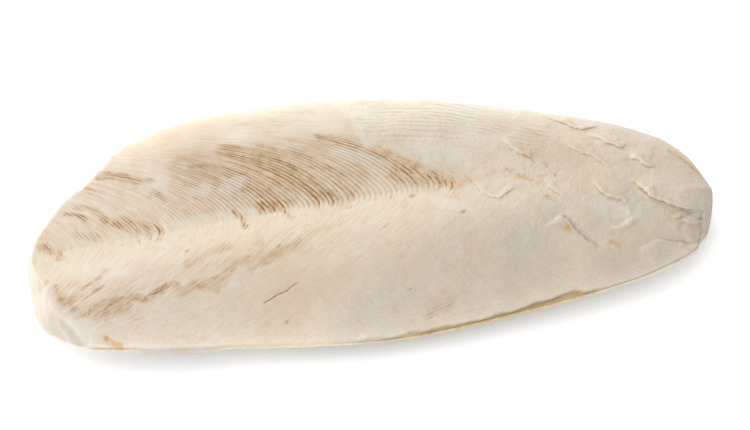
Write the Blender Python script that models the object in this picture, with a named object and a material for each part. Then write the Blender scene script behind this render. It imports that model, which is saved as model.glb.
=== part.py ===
"""A cuttlebone: the chalky inner shell of a cuttlefish, lying on its hard back with its soft face up.

+X points to the front of the animal, +Y across the bone to its far side, and +Z up from the surface that
it rests on. The origin is on that surface, below the middle of the bone's box. It is one grown piece, so
it is one object: an oval boat of thin chalk layers over a hard shield. Its soft face has two long swells
with a groove between them, fine growth ridges that point forwards on the rear two thirds, and a smooth
front third whose layers have flaked off in ledges.

Numbers are in millimetres, and MM turns them into the metres that Blender uses.
"""

import math

import bmesh
import bpy
import numpy as np

MM = 0.001

# The two ends, where the groove meets the outline.
REAR_END = (-89.6, -6.1)
FRONT_END = (89.9, -9.0)

# The outline from above, from the rear end to the front end. The rear end has broken off in steps.
FAR_EDGE = [
    REAR_END, (-88.6, -2), (-85.8, 3.2), (-80, 10.6), (-74.6, 14.5), (-71, 18.4), (-69, 20.4), (-67.4, 24),
    (-65.3, 26.5), (-57.3, 30.4), (-51.7, 32.8), (-40.7, 35.2), (-27, 36.6), (-12, 36.7), (3, 35.8), (14, 34.3),
    (24.3, 32), (45, 25.9), (65.4, 18.3), (77.5, 11.4), (82.3, 7.2), (86, 2), (88.3, -4), FRONT_END,
]  # fmt: skip
NEAR_EDGE = [
    REAR_END, (-89.5, -12), (-88.9, -19), (-87.6, -23.4), (-85, -26.2), (-80.5, -29.2), (-75.5, -31.3),
    (-67, -32.4), (-58, -33.5), (-46, -34.3), (-35, -35.1), (-21, -36.5), (-8, -37.6), (3, -37.8), (14, -37.3),
    (33.6, -35.3), (50, -33.2), (63, -30.9), (74, -27.3), (80, -24), (84.4, -19.4), (87.8, -14.8), FRONT_END,
]  # fmt: skip
STEPS = 12  # straight runs drawn from each stretch between two points of a curve

# The groove's line from above.
GROOVE = [REAR_END, (-68, -4.7), (-45, -3.3), (-5, -1.5), (30, -0.8), (55, -1.6), (75, -4.5), FRONT_END]

# Heights along the bone, as pairs of x and height above the resting surface.
CREST_HEIGHT = [
    (-90, 16.4), (-75, 17.6), (-50, 18.6), (-20, 19.4), (10, 19.6), (35, 18.8), (60, 17), (78, 15), (90, 13.4),
]  # fmt: skip
EDGE_HEIGHT_MIDDLE = 5.0
EDGE_HEIGHT_RISE = 5.4  # how much higher the outline lies at the two ends than in the middle
EDGE_THICKNESS = [(-90, 1.6), (-60, 1.1), (50, 1.1), (78, 2.0), (90, 4.0)]
KEEL_RISE = 3.8  # how much the middle of the hard back rises towards the ends
WORN_DEPTH = 0.3  # how deep the back is worn flat where it rests

# The sides: how far in from the outline each side slope reaches, as pairs of x and distance.
FAR_SLOPE = [(-90, 4.5), (-74, 6), (-52, 16), (-20, 20), (40, 21), (66, 18), (90, 9)]
NEAR_SLOPE = [(-90, 4.2), (-79, 4.6), (-66, 17), (-45, 26), (20, 28), (55, 25), (75, 16), (90, 8)]
SLOPE_ROUNDING = 0.66  # under 1, so that the side stands steep at the outline and flattens upwards
FAR_SHELF = 0.2  # how far the hard back sticks out from under the chalk
NEAR_SHELF = [(-90, 0.2), (-10, 0.2), (14, 0.9), (34, 1.9), (50, 2.2), (64, 0.9), (78, 0.2), (90, 0.2)]
BACK_HALF_WIDTH = 38.0  # the hard back rises from its middle to the outline over this distance

# The groove between the two swells.
GROOVE_DEPTH = [(-90, 2.6), (-70, 3.3), (-20, 3.3), (15, 2.7), (40, 1.5), (65, 0.5), (90, 0.0)]
GROOVE_FAR_WIDTH = 13.0
GROOVE_NEAR_WIDTH = 8.0
GROOVE_SHAPE = 1.5

# The growth ridges trail backwards from the groove, ever more steeply towards the sides.
RIDGE_PITCH = 1.6
RIDGE_HEIGHT = 0.3
RIDGE_FRONT = 22.0  # where on the groove the ridges end and the smooth front begins
TRAIL_START = 0.95
TRAIL_BEND = 0.014
NEAR_RIDGE_SHARE = 0.45  # the near side's ridges are more worn

# Mesh density.
FACE_STRIPS = 9  # strips from the groove to each side
BACK_STRIPS = 8
FRONT_RINGS = 30
CROWDING = 1.35  # how much closer the strips lie at the outline than at the groove

# Ledges where layers have flaked off: the broken edge from above, how far the bared hollow runs from it,
# and how deep the step is. The hollow lies to the right of the direction in which the edge runs.
LEDGES = {
    "front_ledge": ([(68.2, -4.6), (70.6, -9.8), (74.5, -13.1), (78.5, -15.6), (84, -15.2)], (5.0, 3.0), 0.9),
    "far_ledge": ([(54, 15.7), (58.6, 12.6), (62, 8.5), (66.6, 5.2), (70, 1.6), (75, -2.6)], (6.0, 5.0), 0.7),
    "middle_ledge": ([(57.6, -3.6), (59.2, -8.4), (62.8, -11.3), (66.6, -16.5)], (6.0, 4.0), 0.6),
    "groove_ledge": ([(26.4, -0.3), (28, -4.7), (30.9, -7.4), (34.4, -7.1), (40, -4.8)], (5.0, 4.0), 0.5),
    "near_ledge": ([(58.8, -24.8), (53, -21.8), (49.4, -16.6), (45, -15.6), (42.4, -17.6)], (5.5, 4.0), 0.6),
    "rim_ledge": ([(81.5, -24.2), (74.3, -23.3), (68.4, -24.2), (65.4, -27.2)], (5.0, 4.0), 0.6),
}
CUTTER_LIFT = 0.35  # how far above the soft face a ledge's cutter ends
CUTTER_HEIGHT = 6.0


def curve_through(points, steps=STEPS):
    """A smooth curve through the points, as rows of x and y."""
    p = np.array([points[0], *points, points[-1]], float)
    t = np.linspace(0, 1, steps, endpoint=False)[:, None]
    runs = []
    for a, b, c, d in zip(p, p[1:], p[2:], p[3:]):
        runs.append(b + 0.5 * t * (c - a + t * (2 * a - 5 * b + 4 * c - d + t * (3 * (b - c) + d - a))))
    return np.concatenate([*runs, p[-1:]])


def reader(points):
    """A function that reads the smooth curve through the points at any x."""
    curve = curve_through(points)
    return lambda x: np.interp(x, curve[:, 0], curve[:, 1])


far_edge = reader(FAR_EDGE)
near_edge = reader(NEAR_EDGE)
groove_y = reader(GROOVE)
crest_height = reader(CREST_HEIGHT)
edge_thickness = reader(EDGE_THICKNESS)
far_slope = reader(FAR_SLOPE)
near_slope = reader(NEAR_SLOPE)
near_shelf = reader(NEAR_SHELF)
groove_depth = reader(GROOVE_DEPTH)
OUTLINE = np.concatenate([curve_through(FAR_EDGE), curve_through(NEAR_EDGE)[::-1]])
MIDDLE = (OUTLINE.min(0) + OUTLINE.max(0)) / 2  # of the outline's box, which goes over the origin


def distance_in(x, y):
    """How far each point lies from the outline."""
    start = OUTLINE[:-1]
    run = OUTLINE[1:] - start
    length = np.maximum((run**2).sum(1), 1e-9)
    away = np.stack([x, y], -1)[..., None, :] - start
    share = np.clip((away * run).sum(-1) / length, 0, 1)
    return np.sqrt(((away - share[..., None] * run) ** 2).sum(-1)).min(-1)


def edge_height(x):
    return EDGE_HEIGHT_MIDDLE + EDGE_HEIGHT_RISE * (x / FRONT_END[0]) ** 2


def face_height(x, y):
    """The height of the soft face, without its ridges and ledges."""
    across = y - groove_y(x)
    far_share = np.clip(across / GROOVE_NEAR_WIDTH + 0.5, 0, 1)
    reach = near_slope(x) + (far_slope(x) - near_slope(x)) * far_share
    shelf = near_shelf(x) + (FAR_SHELF - near_shelf(x)) * far_share
    up = np.clip((distance_in(x, y) - shelf) / reach, 0, 1)
    slope = (1 - (1 - up) ** 2) ** SLOPE_ROUNDING
    width = np.where(across > 0, GROOVE_FAR_WIDTH, GROOVE_NEAR_WIDTH)
    dip = groove_depth(x) * np.exp(-((np.abs(across) / width) ** GROOVE_SHAPE))
    return edge_height(x) + (crest_height(x) - edge_height(x) - dip) * slope


def back_height(x, y):
    """The height of the hard back, worn flat where it rests."""
    edge = edge_height(x) - edge_thickness(x)
    keel = KEEL_RISE * (x / FRONT_END[0]) ** 2 - WORN_DEPTH
    out = np.clip(1 - distance_in(x, y) / BACK_HALF_WIDTH, 0, 1)
    return np.maximum(keel + (edge - keel) * out**2, 0)


def trail(across, crossing):
    """How far behind its crossing of the groove a ridge lies. It dies out towards the front end."""
    left = np.clip((crossing - RIDGE_FRONT) / (FRONT_END[0] - RIDGE_FRONT), 0, 1)
    return (TRAIL_START * across + TRAIL_BEND * across**2) * (1 - left**2)


def reach_to_edge(crossing, side):
    """How far across from the groove each ridge line meets the outline, found by halving."""
    edge = far_edge if side > 0 else near_edge
    low = np.zeros_like(crossing)
    high = np.full_like(crossing, 60.0)
    for _ in range(40):
        middle = (low + high) / 2
        x = crossing - trail(middle, crossing)
        inside = (x > REAR_END[0]) & (side * (edge(x) - groove_y(x)) > middle)
        low = np.where(inside, middle, low)
        high = np.where(inside, high, middle)
    return low


def ring_crossings():
    """Where each ring of the mesh crosses the groove: two rings a ridge, then wider ones to the front."""
    ridged = np.arange(REAR_END[0] + 0.25 * RIDGE_PITCH, RIDGE_FRONT, RIDGE_PITCH / 2)
    left = np.linspace(1, 0, FRONT_RINGS + 1)[1:-1]
    front = FRONT_END[0] - (FRONT_END[0] - ridged[-1]) * left**1.2
    return np.concatenate([ridged, front, [FRONT_END[0] - 0.15]])


def new_collection(name):
    collection = bpy.data.collections.new(name)
    bpy.context.scene.collection.children.link(collection)
    return collection


def new_object(name, bm, collection):
    mesh = bpy.data.meshes.new(name)
    bm.to_mesh(mesh)
    bm.free()
    obj = bpy.data.objects.new(name, mesh)
    collection.objects.link(obj)
    return obj


def make_bone(collection):
    """A sphere with its poles at the two ends, whose rings are drawn out along the growth ridges."""
    crossings = ring_crossings()
    rings = len(crossings)
    strips = 2 * FACE_STRIPS + BACK_STRIPS + 2
    bm = bmesh.new()
    bmesh.ops.create_uvsphere(bm, u_segments=strips, v_segments=rings + 1, radius=1)
    ball = np.array([v.co for v in bm.verts])
    ring = np.rint(np.arccos(np.clip(-ball[:, 2], -1, 1)) / math.pi * (rings + 1)).astype(int)
    strip = np.rint(np.arctan2(ball[:, 1], ball[:, 0]) / (2 * math.pi) * strips).astype(int) % strips

    # Each strip's place from the groove, 0, to the far edge, 1, or the near edge, -1.
    on_face = strip <= 2 * FACE_STRIPS
    face_place = 1 - strip / FACE_STRIPS
    back_place = (strip - 2 * FACE_STRIPS - 1) / BACK_STRIPS * 2 - 1
    place = np.where(on_face, face_place, back_place)
    side = np.where(place >= 0, 1, -1)
    share = np.where(on_face, 1 - (1 - np.abs(place)) ** CROWDING, np.abs(place))

    inner = np.clip(ring - 1, 0, rings - 1)
    crossing = crossings[inner]
    reach = np.where(side > 0, reach_to_edge(crossings, 1)[inner], reach_to_edge(crossings, -1)[inner])
    across = share * reach
    x = crossing - trail(across, crossing)
    y = groove_y(x) + side * across
    z = np.where(on_face, face_height(x, y), back_height(x, y))

    # Every second ring stands proud as a growth ridge, and the ridges sink away towards the sides.
    ridged = (crossing < RIDGE_FRONT) & on_face
    worn = np.where(side > 0, 1.0, NEAR_RIDGE_SHARE) * (1 - share**3) * np.clip(across / 4, 0.3, 1)
    z = z + np.where(ridged, RIDGE_HEIGHT * worn * ((ring % 2) - 0.5), 0)

    for pole, (end_x, end_y) in ((0, REAR_END), (rings + 1, FRONT_END)):
        at_end = ring == pole
        x = np.where(at_end, end_x, x)
        y = np.where(at_end, end_y, y)
        z = np.where(at_end, edge_height(end_x) - 0.5 * edge_thickness(end_x), z)
    for vert, co in zip(bm.verts, np.stack([x - MIDDLE[0], y - MIDDLE[1], z], -1) * MM):
        vert.co = co
    bmesh.ops.recalc_face_normals(bm, faces=bm.faces)
    return new_object("cuttlebone", bm, collection)


def make_flake(name, edge, reaches, depth, collection):
    """A cutter whose floor starts below the soft face at a broken edge and comes out of it further on."""
    edge = np.array(edge, float)
    run = np.gradient(edge, axis=0)
    run /= np.linalg.norm(run, axis=1)[:, None]
    right = np.stack([run[:, 1], -run[:, 0]], -1)
    out = edge + right * np.linspace(*reaches, len(edge))[:, None]
    shallow_ends = np.interp(np.arange(len(edge)), [0, 1, len(edge) - 2, len(edge) - 1], [0.4, 1, 1, 0.4])
    floor = ((edge, face_height(*edge.T) - depth * shallow_ends), (out, face_height(*out.T) + CUTTER_LIFT))
    bm = bmesh.new()
    bmesh.ops.create_grid(bm, x_segments=len(edge) - 1, y_segments=1, size=1)
    for vert in bm.verts:
        step = round((vert.co.x + 1) / 2 * (len(edge) - 1))
        places, heights = floor[int(vert.co.y > 0)]
        vert.co = (*((places[step] - MIDDLE) * MM), heights[step] * MM)
    raised = bmesh.ops.extrude_face_region(bm, geom=bm.faces[:])
    tops = [v for v in raised["geom"] if isinstance(v, bmesh.types.BMVert)]
    bmesh.ops.translate(bm, verts=tops, vec=(0, 0, CUTTER_HEIGHT * MM))
    bmesh.ops.recalc_face_normals(bm, faces=bm.faces)
    cutter = new_object(name, bm, collection)
    cutter.hide_render = True
    cutter.display_type = "WIRE"
    return cutter


def chalk_material():
    material = bpy.data.materials.new("chalk")
    material.use_nodes = True
    shader = material.node_tree.nodes["Principled BSDF"]
    shader.inputs["Base Color"].default_value = (0.82, 0.75, 0.64, 1)
    shader.inputs["Roughness"].default_value = 0.85
    shader.inputs["Metallic"].default_value = 0.0
    return material


def main():
    for obj in list(bpy.data.objects):
        bpy.data.objects.remove(obj)
    pieces = new_collection("cuttlebone")
    cutters = new_collection("cutters")
    bone = make_bone(pieces)
    for name, (edge, reaches, depth) in LEDGES.items():
        cut = bone.modifiers.new(name, "BOOLEAN")
        cut.operation = "DIFFERENCE"
        cut.solver = "EXACT"
        cut.object = make_flake(name, edge, reaches, depth, cutters)
    bone.data.materials.append(chalk_material())
    bone.data.shade_smooth()
    bone.data.set_sharp_from_angle(angle=math.radians(50))


main()
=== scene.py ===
# %% [markdown]
# # A cuttlebone, worked out in cells
#
# A cuttlebone is the chalky float that a cuttlefish grows inside its back. This lesson dresses one in
# Blender: a beach find that lies on its hard shield, soft face up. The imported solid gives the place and
# the size. The cells below build a much finer skin over it, one natural cause after another: how the
# bone grew, how it broke, how it flaked, and how the sea stained it.
#
# The whole bone is one grown piece, so the whole skin is one mesh. Lengths are in millimetres until the
# mesh is filled, where `MM` turns them into metres.

import math

import bmesh
import bpy
import numpy as np
from mathutils import Matrix, Vector


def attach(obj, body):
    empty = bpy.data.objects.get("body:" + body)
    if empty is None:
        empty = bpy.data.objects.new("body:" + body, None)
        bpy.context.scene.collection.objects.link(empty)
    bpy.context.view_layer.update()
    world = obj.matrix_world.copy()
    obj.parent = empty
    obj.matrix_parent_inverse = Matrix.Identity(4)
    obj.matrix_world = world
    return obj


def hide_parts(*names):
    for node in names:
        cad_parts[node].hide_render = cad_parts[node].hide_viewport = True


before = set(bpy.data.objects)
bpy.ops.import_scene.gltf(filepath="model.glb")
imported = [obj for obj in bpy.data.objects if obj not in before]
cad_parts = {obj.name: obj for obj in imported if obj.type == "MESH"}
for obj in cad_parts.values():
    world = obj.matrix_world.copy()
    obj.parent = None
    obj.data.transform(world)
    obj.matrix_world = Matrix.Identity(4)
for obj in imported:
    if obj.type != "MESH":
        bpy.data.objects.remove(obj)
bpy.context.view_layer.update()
MM = 0.001

# %% [markdown]
# ## Curves from a few points
#
# Every line of this bone, from its outline to the height of its crest, is drawn through a handful of
# points read off the real thing. A Catmull-Rom curve passes through each of them and bends evenly in
# between, so a short list is enough. `reader` turns such a curve into a function of x.


# %% Smooth curves
def curve_through(points, steps=12):
    """A smooth curve through the points, as rows of x and y."""
    p = np.array([points[0], *points, points[-1]], float)
    t = np.linspace(0, 1, steps, endpoint=False)[:, None]
    runs = []
    for a, b, c, d in zip(p, p[1:], p[2:], p[3:]):
        runs.append(b + 0.5 * t * (c - a + t * (2 * a - 5 * b + 4 * c - d + t * (3 * (b - c) + d - a))))
    return np.concatenate([*runs, p[-1:]])


def reader(points):
    """A function that reads the smooth curve through the points at any x."""
    curve = curve_through(points)
    return lambda x: np.interp(x, curve[:, 0], curve[:, 1])


def smooth(low, high, value):
    """0 at low and beyond, 1 at high and beyond, and an even S between them."""
    t = np.clip((value - low) / (high - low), 0, 1)
    return t * t * (3 - 2 * t)


print("halfway up an even S:", smooth(0, 1, 0.5))

# %% [markdown]
# ## Seeded unevenness
#
# Nothing that grew is perfectly even. `mottle` is a small value noise: random heights on a square grid,
# joined by S curves, in a few layers that halve in size. The seed makes it the same on every run.


# %% Mottle
def mottle(u, v, size, seed, layers=3):
    """Even unevenness from about -1 to 1, with lumps of this size."""
    total = np.zeros_like(u)
    for layer in range(layers):
        heights = np.random.default_rng(seed + 100 * layer).uniform(-1, 1, (512, 512))
        su, sv = u / size * 2**layer + 256, v / size * 2**layer + 256
        iu, iv = np.floor(su).astype(int), np.floor(sv).astype(int)
        fu, fv = smooth(0, 1, su - iu), smooth(0, 1, sv - iv)
        a, b = heights[iu % 512, iv % 512], heights[(iu + 1) % 512, iv % 512]
        c, d = heights[iu % 512, (iv + 1) % 512], heights[(iu + 1) % 512, (iv + 1) % 512]
        total += ((a * (1 - fu) + b * fu) * (1 - fv) + (c * (1 - fu) + d * fu) * fv) / 2**layer
    return total


sample = mottle(np.linspace(-50, 50, 999), np.zeros(999), 8, 1)
print("mottle spans:", sample.min().round(2), "to", sample.max().round(2))

# %% [markdown]
# ## The outline, from above
#
# The bone points forwards to +X. Both edges run from the rear end to the front end. The rear tip and its
# little horn are gone: the bone broke there in steps, which is why the left end is blunt and the far edge
# has a notch. The groove is the line that the two swells of the soft face share. A Bezier curve drawn by
# hand would do for the picture, but later cells ask how far each place lies from an edge, and a list of
# points answers that.

# %% Outline and groove
REAR_END = (-89.6, -6.1)
FRONT_END = (89.9, -9.0)
FAR_EDGE = [
    REAR_END, (-88.6, -2), (-85.8, 3.2), (-80, 10.6), (-74.6, 14.5), (-71, 18.4), (-69, 20.4),
    (-67.4, 24), (-65.3, 26.5), (-57.3, 30.4), (-51.7, 32.8), (-40.7, 35.2), (-27, 36.6), (-12, 36.7),
    (3, 35.8), (14, 34.3), (24.3, 32), (45, 25.9), (65.4, 18.3), (77.5, 11.4), (82.3, 7.2), (86, 2),
    (88.3, -4), FRONT_END,
]  # fmt: skip
NEAR_EDGE = [
    REAR_END, (-89.5, -12), (-88.9, -19), (-87.6, -23.4), (-85, -26.2), (-80.5, -29.2),
    (-75.5, -31.3), (-67, -32.4), (-58, -33.5), (-46, -34.3), (-35, -35.1), (-21, -36.5), (-8, -37.6),
    (3, -37.8), (14, -37.3), (33.6, -35.3), (50, -33.4), (63, -31.5), (69.7, -30), (75, -28.4),
    (79.8, -26.6), (82.6, -25), (83.4, -23.4), (85.4, -21.8), (87, -18.6), (88.4, -14.6), FRONT_END,
]  # fmt: skip
GROOVE = [REAR_END, (-68, -4.7), (-45, -3.3), (-5, -1.5), (30, -0.8), (55, -1.6), (75, -4.5), FRONT_END]

# Where the break meets the grown edges, and where those edges ran on before it.
BREAK_FAR_END = -66.0
BREAK_NEAR_END = -76.5
LOST_FAR = (-96, 21)
LOST_NEAR = (-98, -27)

far_edge = reader(FAR_EDGE)
near_edge = reader(NEAR_EDGE)
groove_y = reader(GROOVE)
far_line = curve_through(FAR_EDGE)
near_line = curve_through(NEAR_EDGE)
far_grown, near_grown = far_line[:, 0] > BREAK_FAR_END, near_line[:, 0] > BREAK_NEAR_END
BROKEN_EDGE = np.concatenate([far_line[~far_grown][::-1], near_line[~near_grown]])
GROWN_EDGE = np.concatenate([[LOST_FAR], far_line[far_grown], near_line[near_grown][::-1], [LOST_NEAR]])
OUTLINE = np.concatenate([far_line, near_line[::-1]])
MIDDLE = (OUTLINE.min(0) + OUTLINE.max(0)) / 2  # of the outline's box, which goes over the origin
print("outline in mm:", np.ptp(OUTLINE, axis=0).round(1), "from", len(FAR_EDGE) + len(NEAR_EDGE), "points")

# %% [markdown]
# ## Heights of the plain form
#
# Seen from the end, the bone is a shallow boat with a domed lid. Three curves along the bone set it: the
# crest of the lid, the height of the outline, and the keel of the boat. Across the bone, the height
# depends on how far in from the grown edge a point lies. The break is a second, steeper height that rises
# from the broken edge. The bone is the lower of the two, so a sharp brow forms where they meet.

# %% Plain form
CREST_HEIGHT = [
    (-90, 16.4), (-75, 17.6), (-50, 18.6), (-20, 19.4), (10, 19.6), (35, 18.8), (60, 17), (78, 15),
    (90, 13.4),
]  # fmt: skip
EDGE_HEIGHT_MIDDLE = 5.0
EDGE_HEIGHT_RISE = 5.4
EDGE_THICKNESS = [(-90, 1.6), (-60, 1.1), (50, 1.1), (78, 2.0), (90, 4.0)]
KEEL_RISE = 3.8
WORN_DEPTH = 0.3  # how much of the keel is worn flat
FAR_SLOPE = [(-90, 9), (-66, 10), (-52, 16), (-20, 20), (40, 21), (66, 18), (90, 9)]
NEAR_SLOPE = [(-90, 16), (-66, 21), (-45, 26), (20, 28), (55, 25), (75, 16), (90, 8)]
SLOPE_ROUNDING = 0.66
FAR_SHELF = 0.2
NEAR_SHELF = [(-90, 0.2), (-10, 0.2), (14, 0.45), (30, 0.6), (40, 1.2), (49, 1.2), (55, 0.35), (90, 0.2)]
WALL_STEEPNESS = 1.45
WALL_STEEPER_FAR = 1.8  # what the far side's wall adds to that
WALL_BROW = 0.3  # how softly the wall turns into the face
WALL_BROW_WORN = 0.6  # how much softer it is on the far side
BACK_HALF_WIDTH = 38.0
GROOVE_DEPTH = [(-90, 1.8), (-70, 2.5), (-20, 3.3), (15, 2.7), (40, 1.5), (65, 0.5), (90, 0.0)]
GROOVE_FAR_WIDTH = 13.0
GROOVE_NEAR_WIDTH = 8.0
GROOVE_SHAPE = 1.5

crest_height = reader(CREST_HEIGHT)
edge_thickness = reader(EDGE_THICKNESS)
far_slope = reader(FAR_SLOPE)
near_slope = reader(NEAR_SLOPE)
near_shelf = reader(NEAR_SHELF)
groove_depth = reader(GROOVE_DEPTH)


def distance_from(edge, x, y):
    """How far each point lies from this edge."""
    nearest = np.full(x.shape, 1e9)
    for (sx, sy), (ex, ey) in zip(edge, edge[1:]):
        rx, ry = ex - sx, ey - sy
        share = np.clip(((x - sx) * rx + (y - sy) * ry) / max(rx * rx + ry * ry, 1e-9), 0, 1)
        nearest = np.minimum(nearest, np.hypot(x - sx - share * rx, y - sy - share * ry))
    return nearest


def edge_height(x):
    return EDGE_HEIGHT_MIDDLE + EDGE_HEIGHT_RISE * (x / FRONT_END[0]) ** 2


def wall_height(x, y, from_break):
    """The height of the broken wall."""
    steepness = WALL_STEEPNESS + WALL_STEEPER_FAR * smooth(-17, -6, y)
    return edge_height(x) + steepness * from_break


def grown_height(x, y, from_edge):
    """The height of the soft face, without the break or any detail."""
    across = y - groove_y(x)
    far_share = np.clip(across / GROOVE_NEAR_WIDTH + 0.5, 0, 1)
    reach = near_slope(x) + (far_slope(x) - near_slope(x)) * far_share
    shelf = near_shelf(x) + (FAR_SHELF - near_shelf(x)) * far_share
    up = np.clip((from_edge - shelf) / reach, 0, 1)
    slope = (1 - (1 - up) ** 2) ** SLOPE_ROUNDING
    width = np.where(across > 0, GROOVE_FAR_WIDTH, GROOVE_NEAR_WIDTH)
    dip = groove_depth(x) * np.exp(-((np.abs(across) / width) ** GROOVE_SHAPE))
    return edge_height(x) + (crest_height(x) - edge_height(x) - dip) * slope


def back_height(x, inward):
    """The height of the hard back, worn flat where it rests."""
    edge = edge_height(x) - edge_thickness(x)
    keel = KEEL_RISE * (x / FRONT_END[0]) ** 2 - WORN_DEPTH
    out = np.clip(1 - inward / BACK_HALF_WIDTH, 0, 1)
    return np.maximum(keel + (edge - keel) * out**2, 0)


print("crest and edge in the middle:", float(crest_height(0)), edge_height(0))

# %% [markdown]
# ## Growth lines
#
# The animal adds one thin chamber after another at the rear slope of the soft face. Each leaves a line
# that crosses the groove in a small bend and trails backwards on both sides, first at about forty degrees
# and then ever more steeply, until it runs along the edge. A line is named by where it crosses the
# groove. The older lines at the rear stand closer together than the young ones at the front. The mesh
# rows follow the same law, so three rows make each ridge.

# %% Growth lines
FIRST_PITCH = 0.9
LAST_PITCH = 1.5
RIDGE_FRONT = 22.0
APEX_ROUNDING = 1.6  # of the small bend in the groove
LAG_SLOPE = 0.7  # the three terms of how a line falls behind: straight, bending, and turning away
LAG_BEND = 0.0275
LAG_TURN = 0.0000325
ROWS_FOLLOW_TO = 16.0  # how far from the groove the mesh rows bend with the lines
LINES_BEND_TO = 23.0  # and how far the lines themselves do
PITCH_GAIN = (LAST_PITCH - FIRST_PITCH) / (RIDGE_FRONT - REAR_END[0])
WIDER_THAN_BONE = 60.0
HALVINGS = 40


def line_number(crossing):
    """How many growth lines cross the groove behind this place."""
    return np.log1p(PITCH_GAIN * np.maximum(crossing - REAR_END[0], 0) / FIRST_PITCH) / PITCH_GAIN


def crossing_of(number):
    """Where the growth line of this number crosses the groove."""
    return REAR_END[0] + FIRST_PITCH / PITCH_GAIN * np.expm1(PITCH_GAIN * number)


def lag(across, straight_from):
    """How far behind its crossing a growth line lies, once it is this far from the groove."""
    a = np.sqrt(np.minimum(across, straight_from) ** 2 + APEX_ROUNDING**2) - APEX_ROUNDING
    last_slope = LAG_SLOPE + 2 * LAG_BEND * straight_from + 4 * LAG_TURN * straight_from**3
    bent = LAG_SLOPE * a + LAG_BEND * a**2 + LAG_TURN * a**4
    return bent + last_slope * np.maximum(across - straight_from, 0)


def row_trail(across, crossing):
    """The mesh rows leave the growth lines beyond the swells, and straighten towards the front end."""
    left = np.clip((crossing - RIDGE_FRONT) / (FRONT_END[0] - RIDGE_FRONT), 0, 1)
    return lag(across, ROWS_FOLLOW_TO) * (1 - left**2)


def reach_to_edge(crossing, side):
    """How far from the groove each mesh row meets the outline, found by halving."""
    edge = far_edge if side > 0 else near_edge
    low = np.zeros_like(crossing)
    high = np.full_like(crossing, WIDER_THAN_BONE)
    for _ in range(HALVINGS):
        middle = (low + high) / 2
        x = crossing - row_trail(middle, crossing)
        inside = (x > REAR_END[0]) & (side * (edge(x) - groove_y(x)) > middle)
        low = np.where(inside, middle, low)
        high = np.where(inside, high, middle)
    return low


LINES = int(line_number(RIDGE_FRONT))
print("growth lines that cross the groove:", LINES)

# %% [markdown]
# ## The mesh
#
# A sphere with its poles at the two ends has just the right layout: closed, all quads, and rows that can
# be drawn out along the growth lines. Each vertex knows its row and its strip from its place on the
# sphere, and numpy moves all of them at once. Rows stand a third to half a millimetre apart. A sculpted
# form would be closed too, but its edges would run across the growth lines and blur them.

# %% Rows and strips
ROWS_PER_LINE = 3
FRONT_ROWS = 208
FACE_STRIPS = 84  # from the groove to each side
BACK_STRIPS = 29
CROWDING = 1.2  # how much closer the strips lie at the outline than at the groove
ROW_CROWDING = 1.05  # how much closer the front rows lie at the front end

ridged_rows = crossing_of(np.arange(1, LINES * ROWS_PER_LINE + 1) / ROWS_PER_LINE)
left_over = np.linspace(1, 0, FRONT_ROWS + 1)[1:-1]
front_rows = FRONT_END[0] - (FRONT_END[0] - ridged_rows[-1]) * left_over**ROW_CROWDING
CROSSINGS = np.concatenate([ridged_rows, front_rows])
ROWS = len(CROSSINGS)
STRIPS = 2 * FACE_STRIPS + BACK_STRIPS + 4

bm = bmesh.new()
bmesh.ops.create_uvsphere(bm, u_segments=STRIPS, v_segments=ROWS + 1, radius=1)
skin = bpy.data.meshes.new("cuttlebone_skin")
bm.to_mesh(skin)
bm.free()
ball = np.empty(len(skin.vertices) * 3, np.float32)
skin.vertices.foreach_get("co", ball)
ball = ball.reshape(-1, 3).astype(float)
row = np.rint(np.arccos(np.clip(-ball[:, 2], -1, 1)) / math.pi * (ROWS + 1)).astype(int)
strip = np.rint(np.arctan2(ball[:, 1], ball[:, 0]) / (2 * math.pi) * STRIPS).astype(int) % STRIPS
print("rows:", ROWS, "strips:", STRIPS, "triangles:", 2 * ROWS * STRIPS)

# %% [markdown]
# ## From sphere to bone
#
# The strips go round the bone: down the soft face from the far edge to the near edge, round the near rim,
# back under the hard shield, and round the far rim. On the face the rows wander a little, so that the
# growth lines stay parallel without being ruled.

# %% Sort the vertices
last_face = 2 * FACE_STRIPS
first_back = last_face + 2
last_back = first_back + BACK_STRIPS
on_face = strip <= last_face
on_back = (strip >= first_back) & (strip <= last_back)
on_rim = ~on_face & ~on_back
place = np.where(on_face, 1 - strip / FACE_STRIPS, (strip - first_back) / BACK_STRIPS * 2 - 1)
place = np.where(strip == last_face + 1, -1, np.where(strip > last_back, 1, place))
side = np.where(place >= 0, 1, -1)
share = np.where(on_face, 1 - (1 - np.abs(place)) ** CROWDING, np.abs(place))
print("vertices on the face, the rim and the back:", on_face.sum(), on_rim.sum(), on_back.sum())

# %% Place every vertex
ROW_WANDER = 0.5
inner = np.clip(row - 1, 0, ROWS - 1)
crossing = CROSSINGS[inner]
reach = np.where(side > 0, reach_to_edge(CROSSINGS, 1)[inner], reach_to_edge(CROSSINGS, -1)[inner])
across = share * reach
x = crossing - row_trail(across, crossing)
x = x + ROW_WANDER * on_face * smooth(0.5, 5, reach - across) * mottle(x, side * across, 15, 11, 2)
y = groove_y(x) + side * across
from_edge = distance_from(GROWN_EDGE, x, y)
from_break = distance_from(BROKEN_EDGE, x, y)
inward = np.minimum(from_edge, from_break)
grown = grown_height(x, y, from_edge)
below_wall = wall_height(x, y, from_break) - grown
softness = WALL_BROW + WALL_BROW_WORN * smooth(-2, 6, y)
face = grown - softness * np.log1p(np.exp(np.minimum(-below_wall / softness, 50)))
z = np.where(on_face, face, back_height(x, inward))
z = np.where(on_rim, edge_height(x) - 0.5 * edge_thickness(x), z)
print("vertices placed:", len(x), "highest in mm:", z.max().round(1))

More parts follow.
